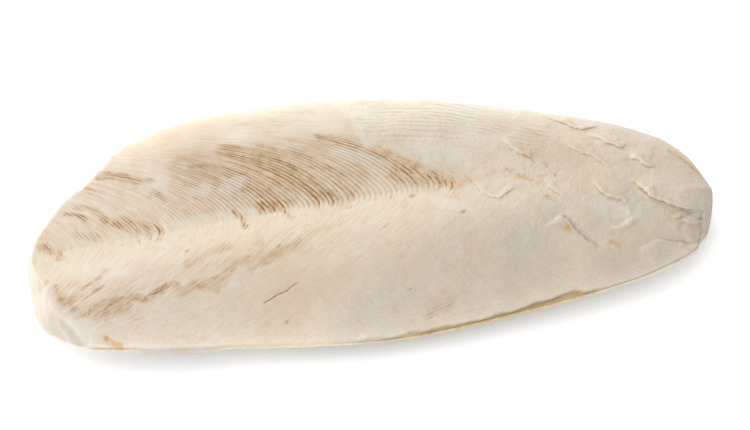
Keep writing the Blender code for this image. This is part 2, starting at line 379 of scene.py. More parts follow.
# %% [markdown]
# ## Ridges
#
# Each growth line stands up as a fine rounded ridge between two narrow furrows. They are crisp on the far
# swell's inner slope, faint on the near side, where they have worn away, and absent on the smooth front.
# Towards the rear the sea has polished them nearly flat, and mostly the dirt shows where they run. The
# material alone could draw them, but real ridges catch the low light and stay in the exported mesh. So
# the mesh has them, and the material only sharpens them.

# %% Where the ridges stop
FRONT_LINE = 21.7  # the growth line at which the smooth front begins, at the groove and on the near side
FRONT_LINE_FAR = 12.2  # and on the far side
FRONT_LINE_FADE = 5.5
CUTS_ACROSS_FAR, CUTS_ACROSS_NEAR = 13.0, 20.0  # beyond here it cuts across the lines, towards the edge
CUT_STEEPNESS_FAR, CUT_STEEPNESS_NEAR = 0.85, 0.6

off = y - groove_y(x)
line = crossing + lag(across, LINES_BEND_TO) - lag(across, ROWS_FOLLOW_TO)
count = line_number(line)
far_limit = FRONT_LINE_FAR + (FRONT_LINE - FRONT_LINE_FAR) * np.exp(-off / FRONT_LINE_FADE)
front_limit = np.where(off > 0, far_limit, FRONT_LINE) + 0.7 * mottle(x, y, 4, 12)
cut_from = np.where(off > 0, CUTS_ACROSS_FAR, CUTS_ACROSS_NEAR)
beyond = lag(np.maximum(np.abs(off), cut_from), LINES_BEND_TO) - lag(cut_from, LINES_BEND_TO)
front_limit += beyond * np.where(off > 0, CUT_STEEPNESS_FAR, CUT_STEEPNESS_NEAR)
behind_front = smooth(0.6, -0.6, line - front_limit)
print("share of the face behind the smooth front:", round(float(behind_front[on_face].mean()), 2))

# %% Raise the ridges
RIDGE_HEIGHT = 0.2
RIDGE_ROUNDNESS = 0.8
POLISH = 0.88  # the share of the ridges that the sea has taken at the rear
short_of_groove = 1.2 - 3.2 * smooth(-26, -14, x)
far_share = smooth(short_of_groove - 0.2, short_of_groove + 2.8, off)
far_share *= (1 - 0.7 * smooth(14, 22, off)) * (1 - 0.6 * smooth(24, 32, off))
near_share = 0.1 * smooth(2, 6, -off) * (1 - 0.6 * smooth(13, 22, -off))
polished = smooth(-40, -62, x + 6 * mottle(x, y, 11, 13))
on_wall = smooth(0.4, -0.6, below_wall) * on_face
ridge_share = (0.06 + 0.9 * far_share + near_share) * behind_front * on_face * (1 - on_wall)
ridge_share *= (1 - POLISH * polished) * np.clip(0.85 + 0.4 * mottle(x, y, 7, 14), 0.2, 1.15)
ridge_share *= smooth(0.5, 3.5, inward)
ridge = np.abs(np.sin(math.pi * count)) ** RIDGE_ROUNDNESS
z = z + RIDGE_HEIGHT * ridge_share * (ridge - 0.6)
print("strongest ridge in mm:", (RIDGE_HEIGHT * ridge_share).max().round(2))

# %% [markdown]
# ## Ledges
#
# At the front, whole layers have come away and left ragged steps. Each ledge here is a line across the
# bone with its high side to the left of its direction. The height jumps at the line and fades away from
# it, so the plain form is the same again a few millimetres off. The line is shaken by the mottle, because
# chalk breaks ragged. Sculpting would give such steps too, but a line in a list can be moved, and the
# material can read how far away it lies.


# %% Distance from a line
def from_line(points, x, y):
    """Distance from the line, its side (1 to the left of its direction), and the share of it passed."""
    p = curve_through(points, 5) if len(points) > 2 else np.array(points, float)
    start, run = p[:-1], np.diff(p, axis=0)
    length = np.hypot(*run.T)
    passed = np.cumsum(length) - length
    best, side, along = np.full(x.shape, 1e9), np.zeros(x.shape), np.zeros(x.shape)
    for (sx, sy), (rx, ry), size, before in zip(start, run, length, passed):
        t = np.clip(((x - sx) * rx + (y - sy) * ry) / size**2, 0, 1)
        dx, dy = x - sx - t * rx, y - sy - t * ry
        distance = np.hypot(dx, dy)
        closer = distance < best
        best = np.where(closer, distance, best)
        side = np.where(closer, np.sign(rx * dy - ry * dx), side)
        along = np.where(closer, (before + t * size) / length.sum(), along)
    return best, side, along


sample_step = from_line([(0, 0), (10, 0)], np.array([5.0]), np.array([2.0]))
print("a point 2 mm to the left, halfway along:", [float(value[0]) for value in sample_step])

# %% Step the face at each ledge
# Line, height of the step, and how far it fades on the high side and on the low side.
LEDGES = {
    "far_front": (
        [(50.5, 18.2), (54, 15.7), (57.6, 13.4), (59.4, 12.4), (61.6, 12.8), (64.5, 14.6)], 0.6, 5, 5,
    ),
    "far_second": ([(59.5, 10.8), (62, 8.6), (64.7, 6.3), (67.8, 4.3), (69, 4.6), (70.4, 7)], 0.55, 5, 5),
    "far_third": ([(69, 2.8), (70.6, 0.6), (72.4, -1.3), (74.4, -2.5), (76.6, -2.6)], 0.6, 5, 4),
    "tip": (
        [(67.8, -4), (70.6, -9.8), (74.5, -13.1), (78.5, -15.4), (83.2, -15.6), (87.8, -15.2)], 1.2, 6, 5,
    ),
    "middle": ([(57.4, -3.4), (59.2, -8.4), (62.8, -11.3), (64.2, -12.3), (66.8, -16.6)], 0.6, 5, 5),
    "soft_step": ([(52, 7.5), (55.6, 4.8), (59.5, 2), (62.8, -3.4)], 0.3, 5, 6),
    "spot_step": ([(36.4, 10.6), (38.5, 8), (40.5, 5.6), (43.8, 2.2)], 0.4, 5, 5),
    "short_step": ([(45, -2.7), (46.8, -6.8), (49.4, -11.6)], 0.3, 5, 5),
    "groove_flap": (
        [(25.6, 1.2), (26.8, -1.5), (28, -4.7), (30.9, -7.6), (34.4, -7.1), (41, -4.2)], 0.25, 4, 5,
    ),
    "near_small": ([(67, -17.2), (63.5, -18.4), (60.2, -18.7)], 0.45, 5, 3),
    "near_step": ([(59, -24.9), (52.7, -21.7), (49, -16), (44.5, -15.9), (42.2, -18.2)], 0.45, 6, 3),
    "rim_step": ([(83, -23.4), (80.9, -24.6), (74.3, -23.5), (68, -24.4), (65.2, -27.6)], 0.5, 5, 3.5),
    "chip_upper": ([(78.6, -17.4), (80.4, -16.9), (83.4, -17.6), (86.4, -16.2)], 0.5, 2, 3),
    "chip_lower": ([(77.2, -19.2), (79.2, -18.9), (81.6, -19.9), (84.4, -19)], 0.4, 2.5, 3),
}  # fmt: skip
LEDGE_SHARPNESS = 0.3
LEDGE_END = 0.3  # the share of a ledge over which it rises out of nothing
shaken_x = x + 0.6 * mottle(x, y, 3.0, 21) + 0.25 * mottle(x, y, 1.0, 23, 1)
shaken_y = y + 0.6 * mottle(x, y, 3.0, 22) + 0.25 * mottle(x, y, 1.0, 24, 1)
step_side = np.full_like(x, -9.0)
step_size = np.zeros_like(x)
nearest_step = np.full_like(x, 1e9)
for points, height, high_fade, low_fade in LEDGES.values():
    distance, left, along = from_line(points, shaken_x, shaken_y)
    ends = smooth(0, LEDGE_END, along) * smooth(0, LEDGE_END, 1 - along)
    fade = np.exp(-((distance / np.where(left > 0, high_fade, low_fade)) ** 1.5))
    z = z + on_face * 0.5 * height * ends * fade * np.tanh(left * distance / LEDGE_SHARPNESS)
    closer = distance < nearest_step
    nearest_step = np.where(closer, distance, nearest_step)
    step_side = np.where(closer, left * distance, step_side)
    step_size = np.where(closer, (0.4 + height) * ends * smooth(2.4, 1.3, distance), step_size)
print("ledges:", len(LEDGES), "highest in mm:", max(ledge[1] for ledge in LEDGES.values()))

# %% [markdown]
# ## Terraces, scoop and chips
#
# Between the ledges the front is smooth, but worn layers show as fine contour lines, like those of a
# rice terrace. They are saw teeth of the distance from the edge, wobbled by the mottle. One shallow scoop
# lies behind the tip, and the tip's near side is chipped rough.

# %% Terraces and ovals
TERRACE = 1.6  # width of one
TERRACE_HEIGHT = 0.14
OVAL_STEP = 1.3
OVAL_HEIGHT = 0.06
OVAL_CENTRE = (25, -19)
OVAL_LENGTH = 2.1  # for a width of 1
in_front = smooth(-1, 3 + 8 * smooth(0, -6, off), line - front_limit) * on_face
contour = (inward + 2.2 * mottle(x, y, 26, 31, 2) + 0.9 * mottle(x * 0.4, y, 4.5, 32)) / TERRACE
terraced = smooth(6, 9, off) * smooth(3, 6, inward) * smooth(24, 19, inward) * smooth(54, 40, x) * in_front
terraced *= np.clip(0.45 + 1.2 * mottle(x * 0.3, y, 3.4, 35), 0.05, 1)
from_oval_centre = np.hypot((x - OVAL_CENTRE[0]) / OVAL_LENGTH, y - OVAL_CENTRE[1])
oval = (from_oval_centre + 1.6 * mottle(x, y, 12, 33)) / OVAL_STEP
ovals = smooth(11, 7, oval) * smooth(-3, -8, off) * np.clip(0.4 + 0.9 * mottle(x, y, 8, 36), 0, 1) * on_face


def saw(count, drop):
    """Falls within this share of each step and rises slowly over the rest."""
    part = count % 1.0
    return np.where(part < drop, 1 - part / drop, (part - drop) / (1 - drop))


z = z + TERRACE_HEIGHT * terraced * (saw(contour, 0.3) - 0.5) + OVAL_HEIGHT * ovals * (saw(oval, 0.35) - 0.5)
print("share of the face that is terraced:", round(float((terraced > 0.5).sum() / on_face.sum()), 2))

# %% Scoop and chips
SCOOP_CENTRE = (79, -4)
SCOOP_LENGTH, SCOOP_WIDTH, SCOOP_DEPTH = 8, 7, 0.5
CHIP_ROUGHNESS, CHIP_DEPTH = 0.5, 0.2
scoop = np.exp(-(((x - SCOOP_CENTRE[0]) / SCOOP_LENGTH) ** 2) - ((y - SCOOP_CENTRE[1]) / SCOOP_WIDTH) ** 2)
z = z - SCOOP_DEPTH * scoop * on_face
chipped = smooth(75, 79, x) * smooth(-15.5, -17.5, y) * smooth(0, 1, inward) * on_face
z = z + chipped * (CHIP_ROUGHNESS * mottle(x, y, 2.6, 34, 2) - CHIP_DEPTH)
print("chipped vertices:", int((chipped > 0.5).sum()))

# %% [markdown]
# ## Cracks and pits
#
# A crack is a narrow cut along a line, and a pit is a round one at a point. The mesh holds them only as
# shallow dents. The distance to the nearest crack is kept too: the material can draw a much thinner line
# from it than the mesh can hold, because a distance changes evenly from vertex to vertex.

# %% Cut cracks and pits
CRACK_DEPTH = 0.12
PIT_DEPTH = 0.4  # for a radius of 1
CRACKS = [
    [(-32.4, -27.9), (-27, -26.3), (-20.4, -23.7)],
    [(-68.6, 14.7), (-64.5, 13.8), (-61.1, 12.5), (-56.5, 10.6)],
    [(16.7, -3.0), (18.4, -1.8), (20, -0.5)],
    [(-61.2, -3.4), (-60.4, -5.6), (-60, -8.1)],
    [(-59.5, -22.6), (-56, -21.3), (-53, -20.3)],
]
# Place and radius.
PITS = [
    (-48.3, -11.6, 0.6), (-25.2, -14.2, 0.5), (11, -3.4, 1.0), (5.6, -2.8, 0.5), (23.2, -11, 0.8),
    (84.6, -17.6, 0.9), (-25.7, -32.1, 0.6), (79.2, -17.8, 0.7), (6.4, -29.1, 0.45), (-64.6, -6.2, 0.4),
    (38.6, 6.6, 0.5),
]  # fmt: skip
crack = np.full_like(x, 9.0)
for points in CRACKS:
    shaken = x + 0.25 * mottle(x, y, 2.5, 41), y + 0.15 * mottle(x, y, 1.5, 42)
    distance, _, along = from_line(points, *shaken)
    distance = distance + 0.36 * (smooth(0.2, 0, along) + smooth(0.8, 1, along)) ** 2
    z = z - CRACK_DEPTH * smooth(0.45, 0, distance) * on_face
    crack = np.minimum(crack, distance)
pit = np.zeros_like(x)
for pit_x, pit_y, radius in PITS:
    uneven = 0.25 * radius * mottle(x, y, radius, 43)
    hole = smooth(radius, 0.2 * radius, np.hypot(x - pit_x, y - pit_y) + uneven)
    z = z - PIT_DEPTH * radius * hole * on_face
    pit = np.maximum(pit, hole)
print("cracks:", len(CRACKS), "pits:", len(PITS))

# %% [markdown]
# ## Round the rim and close the ends
#
# The rim strips bulge a little, so the edge reads as a thin rounded lip. A flake of the shield stands out
# from under the near edge towards the rear. The two pole vertices sit in the middle of the edge at the
# ends. A second pass then pushes the skin along its own normals, which roughens the steep places that
# height alone can't: the broken rear wall, the rim, and the grains of the hard back.

# %% Fill the mesh
RIM_BULGE = 0.2
FLAKE_OUT = 1.1
flake = smooth(-66, -60, x) * smooth(-42, -46.5, x) * (side < 0)
flake_out = (FLAKE_OUT + 0.3 * mottle(x, y, 3, 57)) * flake
for pole, (end_x, end_y) in ((0, REAR_END), (ROWS + 1, FRONT_END)):
    at_end = row == pole
    x = np.where(at_end, end_x, x)
    y = np.where(at_end, end_y, y)
    z = np.where(at_end, edge_height(end_x) - 0.5 * edge_thickness(end_x), z)
rim_now = on_rim & (row > 0) & (row <= ROWS)
y = y + np.where(rim_now, side * (RIM_BULGE + flake_out), 0)
at_back_edge = on_back & (inward < 0.5)
y = y + np.where(at_back_edge, side * flake_out * 0.8, 0)
points = np.stack([x - MIDDLE[0], y - MIDDLE[1], z], -1) * MM
skin.vertices.foreach_set("co", points.astype(np.float32).ravel())
skin.update()
normals = np.empty(len(x) * 3, np.float32)
skin.vertex_normals.foreach_get("vector", normals)
normals = normals.reshape(-1, 3).astype(float)
if normals[on_face & (inward > 20), 2].mean() < 0:
    skin.flip_normals()
    normals = -normals
print("mean upward share of the face's normals:", round(float(normals[on_face, 2].mean()), 2))

# %% Roughen along the normals
rough = on_wall * (0.22 * mottle(x + z, y - z, 2.8, 51, 2) + 0.06 * mottle(x, y + 2 * z, 0.9, 52, 2))
rough += 0.09 * (on_rim | (inward < 2)) * mottle(x, y, 5.0, 53)
rough += 0.1 * on_face * mottle(x, y, 7, 54) + 0.03 * on_face * mottle(x, y, 1.5, 55, 2)
shield_grain = smooth(0.02, 0.5, z) * on_back
rough += shield_grain * (0.12 * mottle(x, y, 2.6, 56, 2) + 0.12 * np.sin((x + 0.004 * y**2) * 2.1))
points += normals * rough[:, None] * MM
points[:, 2] = np.maximum(points[:, 2], 0)
skin.vertices.foreach_set("co", points.astype(np.float32).ravel())
skin.shade_smooth()
skin.update()
bone = bpy.data.objects.new("cuttlebone_skin", skin)
bpy.context.scene.collection.objects.link(bone)
print("skin:", len(skin.vertices), "vertices,", len(skin.polygons), "faces")

# %% [markdown]
# ## Stains
#
# Dirt and rust-brown sea stain sit in patches, and within a patch they gather in the furrows, so they
# come out as streaks along the growth lines. A stroke is a line with a width and a strength. Strokes of
# one colour are joined into one number on each vertex, which the material reads. A painted picture is the
# usual way, but strokes need no picture, and the furrows can break them up. Each row below is a line, its
# width, and its strength.

# %% Umber strokes
UMBER = [
    ([(-36, 16.4), (-26.4, 13.3), (-19.6, 9.1), (-13.1, 3.7), (-8.5, -1)], 3.4, 0.95),
    ([(-34.4, 11.8), (-25, 7.9), (-18, 2.4), (-15, 0)], 3.6, 0.9),
    ([(-33.6, 7), (-26.8, 3.9), (-23, 0.9)], 3.0, 0.75),
    ([(-26.2, 15.6), (-16.7, 11.9), (-9.5, 7.2), (-3.5, 2)], 2.6, 0.6),
    ([(-46, 16.4), (-38, 15), (-30, 13)], 2.0, 0.45),
    ([(-40, 9.5), (-35, 5), (-30, 1)], 1.6, 0.4),
    ([(4, 11), (9.5, 7.4), (13.7, 4.4), (18.6, 0.6)], 2.4, 0.95),
    ([(8, 4.1), (11.5, 2.2), (14.5, 0.9)], 3.0, 0.9),
    ([(-15, 3.4), (-11, 0.2), (-7.6, -2)], 3.6, 1.0),
    ([(-9, 2.6), (-6.8, 0.2), (-5.6, -1.6)], 2.2, 1.0),
    ([(-8.5, 0.5), (-7, -1.6), (-5.8, -3.9)], 1.6, 1.0),
    ([(-27.4, 0), (-20.6, 0.6), (-13.6, 0.9), (-7, -0.9)], 3.0, 1.15),
    ([(-23.6, -2), (-21.8, -3.4), (-20.7, -5.7)], 0.8, 0.9),
    ([(-35.4, -0.6), (-34, -2.5), (-32.9, -5.6)], 1.2, 0.8),
    ([(3, 7), (9, 2.5), (13, 0.6)], 1.9, 0.5),
    ([(-1.4, 12.8), (2.4, 10.4), (6, 8)], 1.4, 0.6),
    ([(-10.4, 17), (-5.5, 15), (-1.6, 12.4)], 1.8, 0.8),
    ([(-77.6, 5.2), (-75.6, 3.8), (-74, 2.6)], 1.5, 0.8),
    ([(-74.9, 6.6), (-71, 4.4), (-68.2, 1.2)], 1.6, 0.7),
    ([(-65.5, 0.6), (-60.5, -1.4), (-55.6, -3.4)], 2.5, 0.95),
    ([(-84.8, -3.4), (-83, -5.4), (-80.9, -7.6)], 2.0, 0.9),
    ([(-76, -1), (-71, -3)], 1.6, 0.35),
    ([(-58.2, -3.8), (-55.8, -5.8)], 1.5, 0.6),
    ([(-68.3, 14.6), (-64.5, 13.4), (-61.1, 12.2), (-56, 10.3)], 1.7, 0.9),
    ([(-72, 11.6), (-70, 9.8)], 1.2, 0.6),
    ([(-60, 9.2), (-53, 6)], 1.6, 0.35),
    ([(16.5, 3.4), (20.6, 0.4), (23.4, -2)], 2.2, 0.8),
    ([(-2, 9.6), (4, 5.6), (8, 2)], 1.3, 0.5),
    ([(-85.8, -15), (-83.4, -17.2)], 1.6, 1.0),
    ([(-83.4, -18.4), (-80.8, -21), (-78.2, -23.8)], 2.0, 1.0),
    ([(-82, -22.4), (-76, -20.6), (-70.5, -18.5)], 1.1, 0.9),
    ([(-80.6, -21.1), (-74, -17.4), (-67.9, -13.6)], 0.9, 0.8),
    ([(-76.6, -24.3), (-69.5, -22.8), (-61.9, -22.2)], 1.8, 0.9),
    ([(-73.5, -25.5), (-64.7, -24.4)], 1.4, 0.7),
    ([(-61, -23.2), (-56, -21.4), (-51.8, -20)], 1.5, 1.0),
    ([(-51.8, -21.8), (-47, -21.6), (-42.7, -20.7)], 1.6, 0.6),
    ([(-42.9, -21.9), (-38.6, -19.8), (-34.6, -17.2)], 2.1, 0.75),
    ([(-36.3, -20.4), (-30.1, -16)], 1.9, 0.6),
    ([(-30.3, -17.9), (-20.1, -13.9)], 1.8, 0.5),
    ([(-48.4, -15), (-37.8, -11.7)], 1.8, 0.35),
    ([(-20, -13), (-8, -9)], 1.6, 0.2),
    ([(20.2, -1.4), (22, -4), (21.8, -7.2)], 1.5, 0.6),
]
print("umber strokes:", len(UMBER))

# %% Olive and orange strokes
OLIVE = [
    ([(-45, 13.8), (-41, 13.2), (-37.6, 11.6), (-33.3, 8.5)], 1.0, 0.9),
    ([(-26.3, 13.8), (-22, 11.2), (-18, 8), (-13.1, 3.7), (-8.6, -0.8)], 0.8, 0.95),
    ([(-54.2, 6.7), (-52.7, 4.5)], 1.2, 0.5),
    ([(-42.4, 8.6), (-39.5, 6.9)], 1.3, 0.5),
    ([(-47, 9), (-45, 8)], 1.2, 0.4),
    ([(10.1, -35), (13, -34.2), (16.5, -32.6)], 1.5, 0.5),
    ([(60.6, -18.9), (60.2, -21.4)], 0.9, 0.5),
    ([(39, -0.6), (40.4, -1)], 0.7, 0.7),
    ([(46.2, 1.9), (47.2, 0.6)], 0.8, 0.7),
    ([(48.2, -1.5), (48.4, -2.5)], 0.7, 0.8),
    ([(44.6, -4), (46.4, -4.4)], 0.9, 0.3),
]
ORANGE = [
    ([(41.2, 4.4), (43.5, 2.6)], 0.8, 0.9),
    ([(36.5, 1), (37.4, 0.4)], 0.6, 1.0),
    ([(38.6, -0.7), (40, -2), (42, -2.9)], 0.7, 0.9),
    ([(43.6, -2), (46.5, -2.4)], 0.6, 0.5),
    ([(45.4, -9.3), (46.8, -10.1)], 0.9, 1.0),
    ([(48.4, -17.8), (49.6, -19.4)], 1.1, 0.8),
    ([(59.6, -23.2), (61.8, -23.9)], 0.9, 0.9),
    ([(76.8, -17.6), (77.4, -20)], 1.0, 0.4),
    ([(82, -21), (84.6, -19.4)], 0.8, 0.35),
    ([(-71.6, -30.6), (-70, -31.4), (-68, -31.8)], 0.9, 0.9),
    ([(-60.7, 28.2), (-58.6, 29.2), (-56.5, 29.8)], 0.8, 0.9),
    ([(80.9, 3.4), (83.9, 0.6), (86.7, -3.8)], 1.1, 0.6),
    ([(2.0, -12.6), (3.1, -11.9)], 0.55, 1.0),
    ([(-30.4, -32.4), (-32.7, -33.2)], 1.2, 0.35),
    ([(50, 19), (54, 16.6), (57.5, 14)], 0.8, 0.5),
    ([(44, 12.5), (47, 10.5)], 1.2, 0.3),
    ([(57.6, -4), (59.2, -8), (62.8, -11)], 0.9, 0.3),
    ([(68.2, -5), (71, -9.6), (75, -13)], 0.9, 0.35),
    ([(64.6, -13), (66.6, -16)], 0.8, 0.45),
    ([(21.4, 3.2), (22.4, 1.8)], 0.7, 0.5),
    ([(25.6, 0.8), (26.8, -1.2)], 0.7, 0.6),
    ([(-10.6, 14), (-8, 16.6)], 1.6, 0.3),
]
print("olive and orange strokes:", len(OLIVE), len(ORANGE))

# %% Washes and rubbed patches
# Wide, faint washes in which the strokes above lie.
WASH = [
    ([(-46, 13), (-30, 10), (-15, 6.4), (-4, 4)], 10, 0.85),
    ([(-30, 14), (-18, 13), (-6, 13)], 6, 0.6),
    ([(4, 9), (12, 4.4), (20, -0.6)], 6, 0.6),
    ([(-82, -2), (-70, 0), (-58, -1)], 6, 0.35),
    ([(-72, 12), (-60, 11), (-48, 8)], 5, 0.35),
    ([(-82, -20), (-70, -20), (-56, -20), (-40, -18), (-26, -15), (-14, -12)], 6, 0.55),
    ([(-78, -25), (-64, -24)], 5, 0.4),
    ([(18, -3), (24, -6)], 4, 0.5),
    ([(30, -2), (44, -3), (56, -6)], 4.5, 0.55),
    ([(43, 7), (54, 2), (62, -3)], 8, 0.7),
    ([(8, -34), (16, -33)], 4, 0.45),
    ([(-5, -8), (12, -8), (22, -9)], 5, 0.3),
    ([(12, 6), (20, 0), (26, -2)], 4, 0.7),
    ([(-60, 22), (-40, 26), (-15, 26)], 5, 0.4),
    ([(-58, 19), (-48, 19.6), (-34, 20)], 3, 0.4),
]
# Patches where the skin is rubbed white.
PALE = [
    ([(-57.5, 9), (-53, 10)], 3, 0.6),
    ([(-46, 5.5), (-42, 6.5)], 2.6, 0.5),
    ([(-36.5, 6), (-33, 7.6)], 2.6, 0.6),
    ([(-38, -22), (-35.5, -19.5)], 2.8, 0.6),
    ([(-70, -15), (-64, -16)], 2.4, 0.35),
    ([(-6, 12), (1, 9), (5, 5)], 2.6, 0.4),
    ([(14, 12), (20, 9), (26, 7)], 4, 0.4),
    ([(16, -6), (24, -9.5)], 2.6, 0.5),
    ([(79.6, -18.1), (82.5, -18.1), (85, -17.2)], 1.2, 0.95),
    ([(57, 14.5), (60, 13.6), (63, 14.4)], 1.6, 0.4),
    ([(60, -14), (66, -15.5)], 4, 0.5),
    ([(28, 12), (36, 9), (38, 5)], 4, 0.35),
]
print("washes and rubbed patches:", len(WASH), len(PALE))


# %% Paint the strokes
def painted(strokes, seed, ragged):
    """How strongly each vertex is stained by these strokes."""
    total = np.zeros_like(x)
    shaken = x + ragged * mottle(x, y, 3, seed), y + ragged * mottle(x, y, 3, seed + 1)
    for points, width, strength in strokes:
        distance, _, _ = from_line(points, *shaken)
        total = np.maximum(total, strength * smooth(width, width * 0.25, distance))
    return total * on_face


# Stretched along the growth lines, so that a stain follows them as streaks.
BETWEEN_STROKES = 0.22  # how strong umber is in the swell's furrows where no stroke lies
streak = mottle(line, off * 0.11, 1.3, 66, 2)
umber = painted(UMBER, 61, 0.7) * np.clip(0.8 + 0.75 * streak, 0.05, 1.25)
swell_lines = behind_front * on_face * smooth(2, 5, off) * smooth(24, 15, off)
everywhere = np.clip(0.25 + 1.3 * streak + 0.9 * mottle(x, y, 9, 64), 0, 1.3)
umber = np.maximum(umber, BETWEEN_STROKES * swell_lines * everywhere * (1 - 0.7 * polished))
STAINS = {
    "umber": umber,
    "olive": painted(OLIVE, 71, 0.4) * np.clip(0.9 + 0.4 * mottle(x, y, 1.5, 72), 0.2, 1.2),
    "orange": painted(ORANGE, 81, 0.5) * np.clip(1.15 + 0.6 * mottle(x, y, 1.2, 82), 0.3, 1.3),
    "wash": painted(WASH, 91, 2.0) * np.clip(0.9 + 0.5 * mottle(x, y, 5, 92), 0.1, 1.2),
}
print("share of the face under umber:", round(float((umber > 0.2).sum() / on_face.sum()), 2))

# %% [markdown]
# ## What the material needs to know
#
# The material is made of nodes, and nodes can read any number stored on the vertices. Storing the number
# of the growth line, of the terrace and of the oval lets the nodes draw each furrow and step much finer
# than the mesh, and in the right place.

# %% Where horn, rubbed chalk and painted highlights show
near_foot = near_shelf(x) + 0.2 * mottle(x, y, 4, 95) + 0.12 * mottle(x, y, 1.3, 97, 2)
chalk_edge = smooth(near_foot + 0.15, near_foot - 0.25, inward) * on_face * (side < 0)
horn_showing = smooth(-14, 10, x) * smooth(58, 51, x) * (side < 0)
back_horn = smooth(9, 1, inward) * 0.7 + horn_showing * smooth(2, 0, inward)
horn = np.where(on_face, chalk_edge * horn_showing, np.where(on_rim, 0.2 + 0.8 * horn_showing, 0))
horn = np.where(on_back, np.clip(back_horn, 0, 1), horn)
horn = horn * (1 - flake)
# Painted highlight: a pale band along the crest where the broken wall meets the face.
crest_highlight = smooth(-0.6, 0.2, below_wall) * smooth(3.4, 1.2, below_wall) * smooth(-7, -12, off) * on_face
# Painted light: the flake's edge under the near rim is made pale, as if lit.
lit_flake_edge = flake * np.clip(0.7 + 0.5 * mottle(x, y, 3, 58), 0, 1)
lit_flake_edge = lit_flake_edge * np.where(on_face, smooth(0.8, 0.2, inward), 1)
# Rubbed patches, with the crest's painted highlight and the flake's painted light.
rubbed_and_lit = np.maximum(np.maximum(painted(PALE, 96, 0.8), 0.7 * crest_highlight), lit_flake_edge)
print("vertices on horn:", int((horn > 0.5).sum()), "on rubbed chalk:", int((rubbed_and_lit > 0.5).sum()))

# %% Store attributes
beside_groove = np.exp(-((off / np.where(off > 0, 3.2, 10)) ** 2))
ATTRIBUTES = {
    "growth_line": count,
    # painted shadow: a dark line on the horn under the chalk's near edge
    "chalk_shadow_on_horn": on_face * smooth(0.35, 0.05, np.abs(inward - near_foot)) * horn_showing,
    # rubbed patches, the crest's painted highlight and the flake's painted light
    "pale": rubbed_and_lit,
    # painted light: a lighter cream on the rear far flank, which faces the main light
    "far_flank_light": on_face * smooth(14, 24, off) * smooth(-50, -25, x),
    "wall": on_wall,
    "furrows": np.clip(ridge_share, 0, 1),
    "terrace": contour,
    "terraced": terraced,
    "oval": oval,
    "ovals": ovals,
    "step_side": np.clip(step_side, -3, 3),
    "step_size": step_size * on_face,
    "crack": np.where(on_face, np.minimum(crack, 3), 3),
    "pit": pit,
    "horn": horn,
    "back": on_back * 1.0,
    "front": in_front,
    "groove": beside_groove * behind_front * on_face,
    "near": smooth(-4, -14, off) * on_face,
    "rosy": on_face * smooth(-30, -75, x) * smooth(3, 9, np.abs(off)),
    "rim": on_face * smooth(4.4, 1.8, inward) * smooth(-58, -50, x) * smooth(6, -8, x) * (side > 0),
    **STAINS,
}
for name, values in ATTRIBUTES.items():
    layer = skin.attributes.new(name, "FLOAT", "POINT")
    layer.data.foreach_set("value", np.ascontiguousarray(values, np.float32))
grain = skin.attributes.new("grain", "FLOAT_VECTOR", "POINT")
grain.data.foreach_set("vector", np.stack([line, off * 0.12, z], -1).astype(np.float32).ravel())
print("attributes:", sorted(ATTRIBUTES))

# %% [markdown]
# ## The chalk
#
# Dry cuttlebone is matt and a little rosy. The rear of the far flank, which faces the main light, is
# painted a lighter cream: painted light. The colours are laid one over another: broad patches, streaks
# along the growth lines, furrows, stains, cracks, and the yellowish horn of the shield where it shows.
# A short helper keeps each layer to a line or two.


# %% Node helpers
class Layers:
    """Adds nodes to a material one line at a time."""

    def __init__(self, name):
        self.material = bpy.data.materials.new(name)
        self.material.use_nodes = True
        self.tree = self.material.node_tree
        self.shader = self.tree.nodes["Principled BSDF"]

    def put(self, node, socket, value):
        """Links an output, reads an attribute by its name, or sets a plain value."""
        if isinstance(value, str):
            value = self.read(value)
        if isinstance(value, bpy.types.NodeSocket):
            self.tree.links.new(value, node.inputs[socket])
        else:
            node.inputs[socket].default_value = value

    def read(self, name, output="Fac"):
        node = self.tree.nodes.new("ShaderNodeAttribute")
        node.attribute_name = name
        return node.outputs[output]

    def maths(self, operation, *values):
        node = self.tree.nodes.new("ShaderNodeMath")
        node.operation = operation
        for socket, value in enumerate(values):
            self.put(node, socket, value)
        return node.outputs[0]

    def product(self, *values):
        result = values[0]
        for value in values[1:]:
            result = self.maths("MULTIPLY", result, value)
        return result

    def between(self, value, low, high):
        """0 at low, 1 at high, an S between."""
        node = self.tree.nodes.new("ShaderNodeMapRange")
        node.interpolation_type = "SMOOTHSTEP"
        for socket, given in (("Value", value), ("From Min", low), ("From Max", high)):
            self.put(node, socket, given)
        return node.outputs["Result"]

    def noise(self, where, scale, detail=3.0, rough=0.5):
        node = self.tree.nodes.new("ShaderNodeTexNoise")
        for socket, value in (("Vector", where), ("Scale", scale), ("Detail", detail), ("Roughness", rough)):
            self.put(node, socket, value)
        return node.outputs["Fac"]

    def mix(self, share, first, second):
        node = self.tree.nodes.new("ShaderNodeMix")
        node.data_type = "RGBA"
        self.put(node, "Factor", share)
        self.put(node, 6, first)
        self.put(node, 7, second)
        return node.outputs[2]

    def lay(self, colour, paint, *shares):
        """The colour with the paint over it, as thick as all the shares multiplied."""
        return self.mix(self.product(*shares), colour, paint)


print("helper ready")

# %% Chalk colours
CREAM = (0.90, 0.79, 0.64, 1)
ROSY = (0.88, 0.72, 0.55, 1)
ROSY_REAR = (0.95, 0.83, 0.71, 1)
PALE_FRONT = (0.82, 0.725, 0.60, 1)
NEAR_FRONT = (0.77, 0.69, 0.575, 1)
GROOVE_CREAM = (0.85, 0.77, 0.625, 1)
# painted light on the rear far flank
FAR_FLANK_LIGHT = (0.94, 0.87, 0.73, 1)
TAN = (0.74, 0.54, 0.34, 1)
BUFF = (0.76, 0.58, 0.40, 1)
WHITER = (0.93, 0.86, 0.75, 1)
SPECK = (0.58, 0.41, 0.26, 1)

